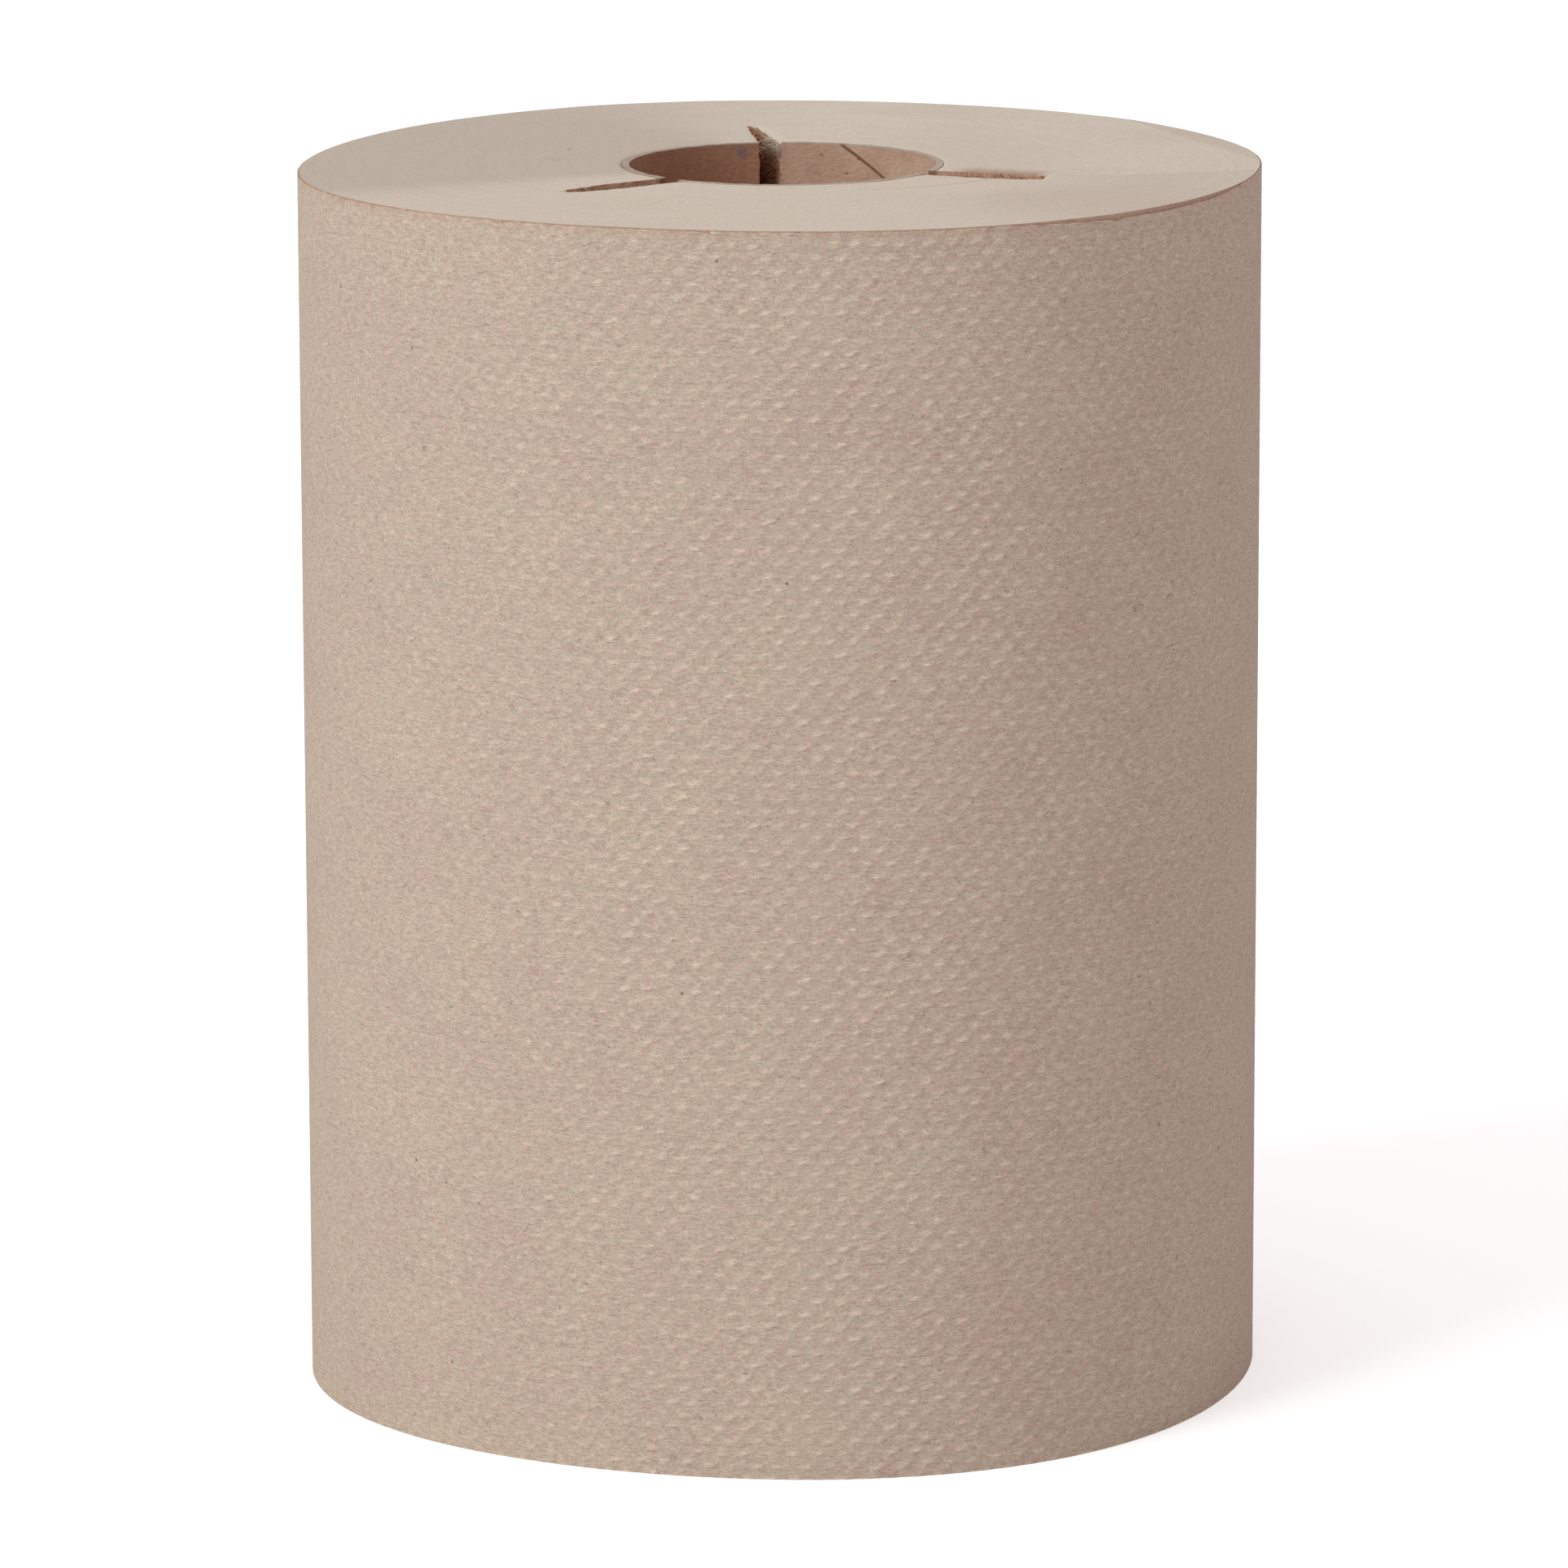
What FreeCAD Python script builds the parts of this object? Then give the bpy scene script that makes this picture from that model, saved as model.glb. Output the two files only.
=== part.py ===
import FreeCAD, Part
import math
import os

# Driving dimensions, in millimetres and degrees. The roll stands on end with +Z up its core,
# the origin is on the core's axis at the foot, and angles run anticlockwise from +X, seen from above.
web_width = 203.2
roll_radius = 80.0
core_bore_radius = 25.4
core_wall = 1.2

# The outermost turn of towel web, with its loose end glued down at the back of the roll.
lap_thickness = 0.25
tail_angle = 118.0

# A packed roll is slightly out of round: how many lobes, how high they stand, and where one of them points.
out_of_round = (
    {"lobes": 2, "height": 0.3, "direction": 66.0},
    {"lobes": 3, "height": 0.5, "direction": -42.0},
    {"lobes": 4, "height": 0.9, "direction": 25.0},
)
arcs_per_turn = 24

# The outermost turn has slipped down at the front right, so its upper edge dips below the end face.
lap_dip = 1.4
lap_dip_direction = -42.0
lap_dip_half_span = 38.0

# Bands of turns that sit a little lower than their neighbours on both end faces.
band_margin = 6.4
band_pitch = 7.6
band_width = 2.6
band_depth = 0.15

# Three slots are cut down from the upper end, through the core and into the turns, for a dispenser's lugs.
slot_depth = 16.0
slot_mouth_width = 3.8
slot_belly_distance = 13.0
slots = (
    {"mouth_angle": 94.6, "end_angle": 96.3, "reach": 21.0, "belly_width": 2.8, "end_width": 1.9},
    {"mouth_angle": 225.6, "end_angle": 222.3, "reach": 22.0, "belly_width": 4.2, "end_width": 1.6},
    {"mouth_angle": 335.6, "end_angle": 337.8, "reach": 20.8, "belly_width": 5.0, "end_width": 3.3},
)

# The core's inner ply is a strip wound in a helix, and a fine open seam is left between its turns.
seam_pitch = 96.7
seam_width = 0.6
seam_depth = 0.35
seam_angle_at_top = 68.0

# How far a cutting shape runs past the face that it cuts.
overrun = 2.0


def point(radius, angle):
    turn = math.radians(angle)
    return FreeCAD.Vector(radius * math.cos(turn), radius * math.sin(turn), 0)


def cylinder(radius, bottom, top):
    return Part.makeCylinder(radius, top - bottom, FreeCAD.Vector(0, 0, bottom))


def section_radius(angle):
    lobed = sum(
        lobe["height"] * math.cos(math.radians(lobe["lobes"] * (angle - lobe["direction"])))
        for lobe in out_of_round
    )
    return roll_radius + lobed


def turn_radius(part_of_turn, laps_inside):
    # The web's outside, from the foot of the tail's step, at 0, once round to the tail's top, at 1.
    angle = tail_angle + 360.0 * part_of_turn
    return section_radius(angle) - lap_thickness * (laps_inside + 1.0 - part_of_turn)


def turn_point(part_of_turn, laps_inside):
    return point(turn_radius(part_of_turn, laps_inside), tail_angle + 360.0 * part_of_turn)


def wound_solid(laps_inside, height):
    # Everything inside one turn of the web's spiral, with a step of one lap where the turn closes.
    edges = []
    for i in range(arcs_per_turn):
        start = turn_point(i / arcs_per_turn, laps_inside)
        middle = turn_point((i + 0.5) / arcs_per_turn, laps_inside)
        end = turn_point((i + 1) / arcs_per_turn, laps_inside)
        edges.append(Part.Arc(start, middle, end).toShape())
    tail_top = turn_point(1.0, laps_inside)
    tail_foot = turn_point(0.0, laps_inside)
    edges.append(Part.makeLine(tail_top, tail_foot))
    return Part.Face(Part.Wire(edges)).extrude(FreeCAD.Vector(0, 0, height))


def above_dipped_edge():
    # The space above the tilted line along which the outermost turn's upper edge lies.
    share = math.cos(math.radians(lap_dip_half_span))
    rise = lap_dip * share / (1.0 - share)
    tilt = math.degrees(math.atan2(lap_dip + rise, roll_radius))
    reach = roll_radius + lap_dip + rise
    block = Part.makeBox(2 * reach, 2 * reach, reach, FreeCAD.Vector(-reach, -reach, 0))
    block.rotate(FreeCAD.Vector(0, 0, 0), FreeCAD.Vector(0, 1, 0), tilt)
    block.rotate(FreeCAD.Vector(0, 0, 0), FreeCAD.Vector(0, 0, 1), lap_dip_direction)
    block.translate(FreeCAD.Vector(0, 0, web_width + rise))
    return block


def lower_bands():
    bands = []
    outermost = roll_radius - sum(lobe["height"] for lobe in out_of_round) - lap_thickness
    radius = core_bore_radius + core_wall + band_margin
    while radius + band_width < outermost:
        for bottom, top in ((-overrun, band_depth), (web_width - band_depth, web_width + overrun)):
            ring = cylinder(radius + band_width, bottom, top).cut(cylinder(radius, bottom, top))
            bands.append(ring)
        radius += band_pitch
    return bands


def slot_shape(slot):
    # In plan each slot runs out from the bore in straight lines: mouth, belly, then a narrower end.
    inner = point(core_bore_radius - overrun, slot["mouth_angle"])
    mouth = point(core_bore_radius, slot["mouth_angle"])
    end = point(core_bore_radius + slot["reach"], slot["end_angle"])
    run = (end - mouth).normalize()
    across = FreeCAD.Vector(-run.y, run.x, 0)
    belly = mouth + run * slot_belly_distance
    stations = (
        (inner, slot_mouth_width),
        (mouth, slot_mouth_width),
        (belly, slot["belly_width"]),
        (end, slot["end_width"]),
    )
    left = [place + across * (width / 2) for place, width in stations]
    right = [place - across * (width / 2) for place, width in reversed(stations)]
    outline = left + right
    face = Part.Face(Part.makePolygon(outline + outline[:1]))
    tool = face.extrude(FreeCAD.Vector(0, 0, slot_depth + overrun))
    tool.translate(FreeCAD.Vector(0, 0, web_width - slot_depth))
    return tool


def seam_groove():
    # A narrow helical channel in the bore's wall, run past both ends of the core.
    start_height = -overrun
    length = web_width + 2 * overrun
    helix = Part.makeHelix(seam_pitch, length, core_bore_radius)
    lean = math.atan2(seam_pitch, 2 * math.pi * core_bore_radius)
    half_height = seam_width / math.cos(lean) / 2
    low_in = FreeCAD.Vector(core_bore_radius - seam_depth, 0, -half_height)
    low_out = FreeCAD.Vector(core_bore_radius + seam_depth, 0, -half_height)
    high_out = FreeCAD.Vector(core_bore_radius + seam_depth, 0, half_height)
    high_in = FreeCAD.Vector(core_bore_radius - seam_depth, 0, half_height)
    profile = Part.makePolygon([low_in, low_out, high_out, high_in, low_in])
    groove = Part.Wire(helix).makePipeShell([profile], True, True)
    start_angle = seam_angle_at_top - 360.0 * (web_width - start_height) / seam_pitch
    groove.rotate(FreeCAD.Vector(0, 0, 0), FreeCAD.Vector(0, 0, 1), start_angle)
    groove.translate(FreeCAD.Vector(0, 0, start_height))
    return groove


def core():
    tube = cylinder(core_bore_radius + core_wall, 0, web_width)
    tube = tube.cut(cylinder(core_bore_radius, -overrun, web_width + overrun))
    for slot in slots:
        tube = tube.cut(slot_shape(slot))
    return tube.cut(seam_groove())


def wound_towel():
    roll = wound_solid(0, web_width)
    slipped_edge = above_dipped_edge().cut(wound_solid(1, 2 * web_width))
    roll = roll.cut(slipped_edge)
    roll = roll.cut(cylinder(core_bore_radius + core_wall, -overrun, web_width + overrun))
    for band in lower_bands():
        roll = roll.cut(band)
    for slot in slots:
        roll = roll.cut(slot_shape(slot))
    return roll


os.makedirs("parts", exist_ok=True)
for name, shape in (("core", core()), ("wound_towel", wound_towel())):
    shape.exportStep("parts/" + name + ".step")
    print(name, "solids", len(shape.Solids), "volume", round(shape.Volume, 1), "valid", shape.isValid())
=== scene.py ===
import math
import random

import bpy
import numpy
from mathutils import Matrix, Vector, noise


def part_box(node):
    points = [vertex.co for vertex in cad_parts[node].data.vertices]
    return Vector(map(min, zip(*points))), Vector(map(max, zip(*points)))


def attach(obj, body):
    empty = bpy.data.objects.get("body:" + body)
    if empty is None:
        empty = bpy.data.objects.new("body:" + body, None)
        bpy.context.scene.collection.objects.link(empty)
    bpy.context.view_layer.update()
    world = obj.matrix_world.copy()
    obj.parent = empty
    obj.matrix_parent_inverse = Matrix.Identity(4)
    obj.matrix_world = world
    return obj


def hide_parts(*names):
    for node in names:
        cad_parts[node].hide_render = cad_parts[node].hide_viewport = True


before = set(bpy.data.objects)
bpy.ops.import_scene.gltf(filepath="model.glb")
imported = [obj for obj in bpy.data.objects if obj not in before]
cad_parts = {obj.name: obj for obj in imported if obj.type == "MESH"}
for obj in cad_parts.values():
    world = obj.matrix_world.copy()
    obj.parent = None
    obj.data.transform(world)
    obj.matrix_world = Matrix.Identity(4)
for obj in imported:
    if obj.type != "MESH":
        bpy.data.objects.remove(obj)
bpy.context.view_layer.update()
mm = 0.001

# The core is a tube of brown chipboard. Its inner ply is a strip wound in a helix, which leaves a
# fine open seam round the bore, and three slots for a dispenser's lugs are punched in its top end.
core_bore = 25.4 * mm
core_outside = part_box("core")[1].x
web_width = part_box("core")[1].z
slot_depth = 16.0 * mm
slot_mouth_width = 3.8 * mm
slot_belly_distance = 13.0 * mm
slots = (
    {
        "mouth_angle": 94.6, "end_angle": 96.3, "reach": 21.0 * mm,
        "belly_width": 2.8 * mm, "end_width": 1.9 * mm,
    },
    {
        "mouth_angle": 225.6, "end_angle": 222.3, "reach": 22.0 * mm,
        "belly_width": 4.2 * mm, "end_width": 1.6 * mm,
    },
    {
        "mouth_angle": 335.6, "end_angle": 337.8, "reach": 20.8 * mm,
        "belly_width": 5.0 * mm, "end_width": 3.3 * mm,
    },
)
seam_pitch = 96.7 * mm
seam_width = 0.6 * mm
seam_depth = 0.35 * mm
seam_angle_at_top = 68.0
seam_bevel = 0.3
board_tear = 0.22 * mm
board_tear_size = 1.1 * mm
rim_wear = 0.1 * mm
rim_wear_size = 2.5 * mm
rim_band = 0.15 * mm
rows_beside_slots = 16
rows_below_slots = 90
columns_to_seam = 24
columns_back_to_left = 44
columns_left_to_right = 36
ink_angle = 105.4
ink_depth = 1.55 * mm
sharp_corner = math.radians(38)


class Wire:
    """A value in a node tree. Sums on wires and numbers add Math nodes to the tree."""

    def __init__(self, tree, socket=None):
        self.tree = tree
        self.socket = socket

    def node(self, kind, settings, inputs, output=0):
        """Adds a node: its settings are made first, then its sockets are filled or linked."""
        made = self.tree.nodes.new(kind)
        for name, value in settings.items():
            setattr(made, name, value)
        for name, value in inputs.items():
            if isinstance(value, Wire):
                self.tree.links.new(value.socket, made.inputs[name])
            else:
                made.inputs[name].default_value = value
        return Wire(self.tree, made.outputs[output])

    def maths(self, operation, *values):
        """Adds a Math node to these values."""
        return self.node("ShaderNodeMath", {"operation": operation}, dict(enumerate(values)))

    def __add__(self, other):
        return self.maths("ADD", self, other)

    def __sub__(self, other):
        return self.maths("SUBTRACT", self, other)

    def __rsub__(self, other):
        return self.maths("SUBTRACT", other, self)

    def __mul__(self, other):
        return self.maths("MULTIPLY", self, other)

    def __truediv__(self, other):
        return self.maths("DIVIDE", self, other)

    def __pow__(self, power):
        return self.maths("POWER", self, power)

    def __abs__(self):
        return self.maths("ABSOLUTE", self)

    def __gt__(self, other):
        return self.maths("GREATER_THAN", self, other)

    def __lt__(self, other):
        return self.maths("LESS_THAN", self, other)

    __radd__ = __add__
    __rmul__ = __mul__

    def sin(self):
        return self.maths("SINE", self)

    def cos(self):
        return self.maths("COSINE", self)

    def at_least(self, lowest):
        return self.maths("MAXIMUM", self, lowest)

    def at_most(self, highest):
        return self.maths("MINIMUM", self, highest)

    def rise(self, low, high):
        """0 below low and 1 above high, with a smooth rise between them."""
        sockets = {"Value": self, "From Min": low, "From Max": high}
        return self.node("ShaderNodeMapRange", {"interpolation_type": "SMOOTHSTEP"}, sockets)

    def parts(self):
        """The three parts of a vector."""
        outputs = self.node("ShaderNodeSeparateXYZ", {}, {0: self}).socket.node.outputs
        return [Wire(self.tree, output) for output in outputs]

    def bearing(self):
        """The angle of a place round the upright axis, in degrees, from 0 to 360."""
        x, y, z = self.parts()
        return self.maths("ARCTAN2", y * -1.0, x * -1.0) * math.degrees(1) + 180.0

    def from_axis(self):
        """How far a place is from the roll's upright axis."""
        x, y, z = self.parts()
        return (x * x + y * y) ** 0.5

    def distance(self, point):
        """How far a place is from a point."""
        ends = {0: self, 1: tuple(point)}
        return self.node("ShaderNodeVectorMath", {"operation": "DISTANCE"}, ends, "Value")

    def blend(self, first, second):
        """A colour between two, where this wire says how much of the second."""
        return self.node("ShaderNodeMix", {"data_type": "RGBA"}, {0: self, 6: first, 7: second}, 2)

    def painted(self, share, red, green, blue):
        """This colour with another one over it, where share says how much."""
        return share.blend(self, paint(red, green, blue))

    def counted(self, wide, high):
        """A place, counted in cells that are so wide across the roll and so high along it."""
        cells = {0: self, 1: (1 / wide, 1 / wide, 1 / high)}
        return self.node("ShaderNodeVectorMath", {"operation": "MULTIPLY"}, cells)

    def grain(self, wide, high, detail=2.0):
        """Noise from 0 to 1 at a place, in blotches so wide across the roll and so high along it."""
        sockets = {"Vector": self.counted(wide, high), "Scale": 1.0, "Detail": detail}
        return self.node("ShaderNodeTexNoise", {}, sockets)

    def specks(self, wide, high, share, size):
        """1 inside small spots: one in each cell of that size, and only in a share of the cells."""
        sockets = {"Vector": self.counted(wide, high), "Scale": 1.0}
        distance = self.node("ShaderNodeTexVoronoi", {}, sockets)
        colour = Wire(self.tree, distance.socket.node.outputs["Color"])
        chance = self.node("ShaderNodeSeparateColor", {}, {0: colour})
        return (distance < size) * (chance < share)

    def shaded(self, colour):
        """A colour made lighter or darker by this wire, where 1 leaves it as it is."""
        scale = {0: colour, "Scale": self}
        return self.node("ShaderNodeVectorMath", {"operation": "SCALE"}, scale)


def paint(red, green, blue):
    """A colour as a picture shows it, in the linear values that a shader takes."""
    return tuple(((part / 255 + 0.055) / 1.055) ** 2.4 for part in (red, green, blue)) + (1.0,)


def matt_finish(name):
    """A new matt material: the material, its shader, and a wire to the place on the piece."""
    material = bpy.data.materials.new(name)
    material.use_nodes = True
    shader = material.node_tree.nodes["Principled BSDF"]
    shader.inputs["Roughness"].default_value = 0.9
    shader.inputs["Specular IOR Level"].default_value = 0.15
    place = Wire(material.node_tree).node("ShaderNodeTexCoord", {}, {}, "Object")
    return material, shader, place


def fill_in(shader, colour, height, depth):
    """Gives a shader its colour, and a bump whose height from 0 to 1 is so many metres deep."""
    bump = {"Height": height, "Distance": depth}
    normal = colour.node("ShaderNodeBump", {}, bump)
    colour.tree.links.new(colour.socket, shader.inputs["Base Color"])
    colour.tree.links.new(normal.socket, shader.inputs["Normal"])


def polar(radius, angle, height=0.0):
    """A point from its distance and bearing round the roll's axis, and its height."""
    turn = math.radians(angle)
    return Vector((radius * math.cos(turn), radius * math.sin(turn), height))


def unevenness(place, size):
    """A smooth number between about -1 and 1 that changes over a distance of that size."""
    return noise.noise(place / size)


def slot_course(slot):
    """Where a slot's middle line leaves the bore, and the direction in which it runs."""
    mouth = polar(core_bore, slot["mouth_angle"])
    return mouth, (polar(core_bore + slot["reach"], slot["end_angle"]) - mouth).normalized()


def slot_line(slot, radius):
    """How far along a slot's middle line a radius is reached, and the angle there."""
    mouth, run = slot_course(slot)
    lean = mouth.dot(run)
    along = math.sqrt(lean**2 + radius**2 - core_bore**2) - lean
    place = mouth + run * along
    return along, math.degrees(math.atan2(place.y, place.x)) % 360


def slot_half_width(slot, along):
    """Half of a slot's width, so far along it."""
    stations = (0.0, slot_belly_distance, slot["reach"])
    widths = (slot_mouth_width, slot["belly_width"], slot["end_width"])
    return float(numpy.interp(along, stations, widths)) / 2


def add_piece(name, points, faces, finishes, finish_of_face=None):
    """A smooth-shaded mesh with sharp corners, from its points and faces."""
    mesh = bpy.data.meshes.new(name)
    mesh.from_pydata([tuple(point) for point in points], [], faces)
    for finish in finishes:
        mesh.materials.append(finish)
    if finish_of_face:
        mesh.polygons.foreach_set("material_index", finish_of_face)
    mesh.polygons.foreach_set("use_smooth", [True] * len(faces))
    mesh.set_sharp_from_angle(angle=sharp_corner)
    piece = bpy.data.objects.new(name, mesh)
    bpy.context.scene.collection.objects.link(piece)
    return piece


def board_finish():
    """Brown board: cloudy, flecked with pale and dark fibres, darker in its seam, and with painted shade on
    the left of the bore.
    """
    material, shader, place = matt_finish("core_board")
    cloud = place.grain(9 * mm, 6 * mm)
    fibre = place.grain(0.9 * mm, 0.5 * mm, 4.0)
    brown = cloud.rise(0.3, 0.7).blend(paint(186, 148, 125), paint(200, 164, 141))
    bearing = place.bearing()
    height = place.parts()[2]
    # Painted shade: the left part of the bore, from the back slot round to the left slot, is browner and
    # darker, fading out deeper down.
    painted_bore_shade = bearing.rise(88, 98) - bearing.rise(222, 240)
    painted_bore_shade = painted_bore_shade * height.rise(web_width - 60 * mm, web_width - 18 * mm)
    brown = brown.painted(painted_bore_shade * 0.85, 158, 112, 86)
    ink = polar(core_bore, ink_angle, web_width - ink_depth)
    blot = place.distance(ink) + 2.4 * mm * (place.grain(0.9 * mm, 0.9 * mm, 3.0) - 0.5)
    inked = blot.rise(1.5 * mm, 0.4 * mm)
    pale = place.specks(1.1 * mm, 0.9 * mm, 0.14, 0.2)
    dark = place.specks(2.1 * mm, 1.6 * mm, 0.12, 0.14)
    brown = brown.painted(pale * 0.3, 214, 190, 170)
    brown = brown.painted(dark * 0.6, 108, 78, 60)
    cut_end = height.rise(web_width - 0.35 * mm, web_width - 0.1 * mm)
    brown = brown.painted(cut_end * 0.75, 176, 166, 152)
    groove = place.from_axis().rise(core_bore + 0.08 * mm, core_bore + 0.2 * mm) * (1 - cut_end)
    brown = brown.painted(groove * 0.8, 122, 84, 54)
    brown = brown.painted(inked * 0.45, 94, 96, 120)
    brown = (0.72 + fibre * 0.56).shaded(brown)
    fill_in(shader, brown, fibre + 0.5 * cloud, 0.12 * mm)
    return material


def core_columns(depth):
    """At a depth below the top: the angles of the upright rows of points, where the slots' gaps are
    among them, and which rows lie in the seam."""
    turned = -360.0 * max(0.0, depth - slot_depth) / seam_pitch
    back, left, right = slots
    half_gap = math.degrees(slot_mouth_width / 2 / core_bore)
    lean = math.atan2(seam_pitch, 2 * math.pi * core_bore)
    half_seam = math.degrees(seam_width / math.sin(lean) / 2 / core_bore)
    seam = seam_angle_at_top - 360.0 * min(depth, slot_depth) / seam_pitch
    lip = seam_bevel * half_seam
    stretches = (
        (right["mouth_angle"] - 360.0 + half_gap, seam - half_seam - lip, columns_to_seam),
        (seam - half_seam, seam - half_seam + lip, 1),
        (seam + half_seam - lip, seam + half_seam, 1),
        (seam + half_seam + lip, back["mouth_angle"] - half_gap, columns_to_seam),
        (back["mouth_angle"] + half_gap, left["mouth_angle"] - half_gap, columns_back_to_left),
        (left["mouth_angle"] + half_gap, right["mouth_angle"] - half_gap, columns_left_to_right),
    )
    angles = []
    gaps = []
    grooved = []
    for low, high, steps in stretches:
        grooved += [steps == 1] * (steps + 1)
        angles += [low + (high - low) * step / steps + turned for step in range(steps + 1)]
        gaps.append(len(angles) - 1)
    return angles, gaps[3:], grooved


def core_mesh():
    """The points and faces of the tube, from its top down, with the slots left open."""
    depths = [0.0, rim_band]
    depths += [slot_depth * (step + 1) / rows_beside_slots for step in range(rows_beside_slots)]
    lower = web_width - slot_depth
    depths += [slot_depth + lower * (step + 1) / rows_below_slots for step in range(rows_below_slots)]
    count = len(core_columns(0.0)[0])
    points = []
    for depth in depths:
        angles, gaps, grooved = core_columns(depth)
        lips = {column for gap in gaps for column in (gap, (gap + 1) % count)}
        for column, angle in enumerate(angles):
            bore = core_bore
            if grooved[column]:
                stretch = [grooved[column - 1], grooved[column], grooved[(column + 1) % count]]
                bore += seam_depth if stretch == [True, True, True] else 0.0
            place = polar(core_bore, angle, web_width - depth)
            if column in lips and 0 < depth < slot_depth:
                angle += math.degrees(board_tear * unevenness(place, board_tear_size) / core_bore)
            drop = 0.0
            if depth == 0.0:
                drop = rim_wear * (1 + unevenness(place, rim_wear_size))
            points.append(polar(bore, angle, web_width - depth - drop))
            points.append(polar(core_outside, angle, web_width - depth - drop))
    gaps = core_columns(0.0)[1]
    bottom_of_slot = depths.index(slot_depth)

    def open_cell(column, level):
        return column % count in gaps and level < bottom_of_slot

    def corner(column, level, outside):
        return 2 * (level * count + column % count) + outside

    faces = []
    last = len(depths) - 1
    for level in range(last):
        for column in range(count):
            if open_cell(column, level):
                continue
            here, there, below = column, column + 1, level + 1
            inside = [(here, level), (there, level), (there, below), (here, below)]
            faces.append([corner(*place, 0) for place in inside])
            faces.append([corner(*place, 1) for place in reversed(inside)])
            if level == 0 or open_cell(column, level - 1):
                rim = ((here, level, 0), (here, level, 1), (there, level, 1), (there, level, 0))
                faces.append([corner(*place) for place in rim])
            if level == last - 1:
                rim = ((here, below, 0), (there, below, 0), (there, below, 1), (here, below, 1))
                faces.append([corner(*place) for place in rim])
            if open_cell(column - 1, level):
                lip = ((here, level, 1), (here, level, 0), (here, below, 0), (here, below, 1))
                faces.append([corner(*place) for place in lip])
            if open_cell(column + 1, level):
                lip = ((there, level, 1), (there, below, 1), (there, below, 0), (there, level, 0))
                faces.append([corner(*place) for place in lip])
    return points, faces


core_piece = add_piece("board_core", *core_mesh(), [board_finish()])
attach(core_piece, "root")
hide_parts("core")

# The wound turns are one long web of brown recycled tissue, wound tight on the core and sawn off
# square at both ends. The dispenser slots go on through them, with fluffy, torn walls.
roll_radius = 80.0 * mm
lap_thickness = 0.25 * mm
tail_angle = 118.0
out_of_round = (
    {"lobes": 2, "height": 0.3 * mm, "direction": 66.0},
    {"lobes": 3, "height": 0.5 * mm, "direction": -42.0},
    {"lobes": 4, "height": 0.9 * mm, "direction": 25.0},
)
band_margin = 6.4 * mm
band_pitch = 7.6 * mm
band_width = 2.6 * mm
band_depth = 0.05 * mm
band_ramp = 1.3 * mm
pressed_direction = 20.0
pressed_distance = 72.5 * mm
pressed_depth = 0.3 * mm
pressed_curve = 1.6
face_waviness = 0.05 * mm
face_wave_size = 14 * mm
dip_at_core = 0.3 * mm
dip_at_core_reach = 0.2 * mm
round_face_radius = 74.0 * mm
shoulder_shares = (0.2, 0.4, 0.6, 0.76, 0.88, 0.95, 0.985, 1.0)
shoulder_round = 0.08 * mm
foot_round = 0.1 * mm
side_depths = (0.12 * mm, 0.6 * mm, 1.6 * mm, 4.0 * mm, web_width / 2, web_width - 2 * mm)
columns_between_slots = 58
lip_offsets = (6.0 * mm, 3.5 * mm, 2.0 * mm, 1.1 * mm, 0.5 * mm, 0.18 * mm, 0.0)
wall_depths = (0.12 * mm, 0.4 * mm, 0.9 * mm, 1.6 * mm, 2.6 * mm, 4.0 * mm, 6.5 * mm, 10.0 * mm, slot_depth)
wall_tear = 0.25 * mm
wall_tear_size = 1.3 * mm
wall_slope = 0.02
edge_wander = 0.34 * mm
edge_wander_sizes = (2.3 * mm, 0.8 * mm)
rings_at_core = (0.0, 0.15 * mm, 0.6 * mm)
rings_at_slot_end = (-0.06 * mm, 0.06 * mm, 0.5 * mm)
rings_near_slots = {"spacing": 0.5 * mm, "first": 2, "last": 41}
rings_further_out = {"spacing": 1.3 * mm, "first": 16, "last": 36}
shoulder_shade_direction = 21.28
shoulder_shade_distance = 74.0 * mm
fold_distance = 16.4 * mm
fold_turn = {"place": 57.6 * mm, "slope": 0.3}
loose_turn = {
    "bearing": 289.0, "radius": 34.8 * mm, "turning": 0.112 * mm,
    "lowest": 290.0, "highest": 328.0,
}
bend_direction = 246.5
back_wall_slope = -0.085
pocket_distance = 41.5 * mm
smudge_place = polar(37.9 * mm, 172.0, web_width)
fleck_place = polar(39.6 * mm, 154.0, web_width)
lip_wear = (
    ({"drop": 0.5 * mm, "reach": 0.9 * mm}, {"drop": 0.12 * mm, "reach": 0.5 * mm}),
    ({"drop": 0.15 * mm, "reach": 0.6 * mm}, {"drop": 0.5 * mm, "reach": 1.1 * mm}),
    ({"drop": 0.45 * mm, "reach": 1.0 * mm}, {"drop": 0.12 * mm, "reach": 0.5 * mm}),
)


def section_radius(angle):
    """The roll's outside, a little out of round."""
    lobed = sum(
        lobe["height"] * math.cos(math.radians(lobe["lobes"] * (angle - lobe["direction"])))
        for lobe in out_of_round
    )
    return roll_radius + lobed


def under_lap_radius(angle):
    """The outside of the turns that the outermost one covers."""
    part_of_turn = (angle - tail_angle) % 360.0 / 360.0
    return section_radius(angle) - lap_thickness * (2.0 - part_of_turn)


def smooth_rise(value, low, high):
    """0 below low and 1 above high, with a smooth rise between them."""
    share = min(1.0, max(0.0, (value - low) / (high - low)))
    return share * share * (3 - 2 * share)


def band_drop(radius):
    """How much lower the end face lies in the bands of turns that sit a little deeper."""
    drop = 0.0
    start = core_outside + band_margin
    while start + band_width < round_face_radius:
        end = start + band_width
        into = smooth_rise(radius, start, start + band_ramp)
        out_of = smooth_rise(radius, end - band_ramp, end)
        drop += band_depth * (into - out_of)
        start += band_pitch
    return drop


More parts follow.
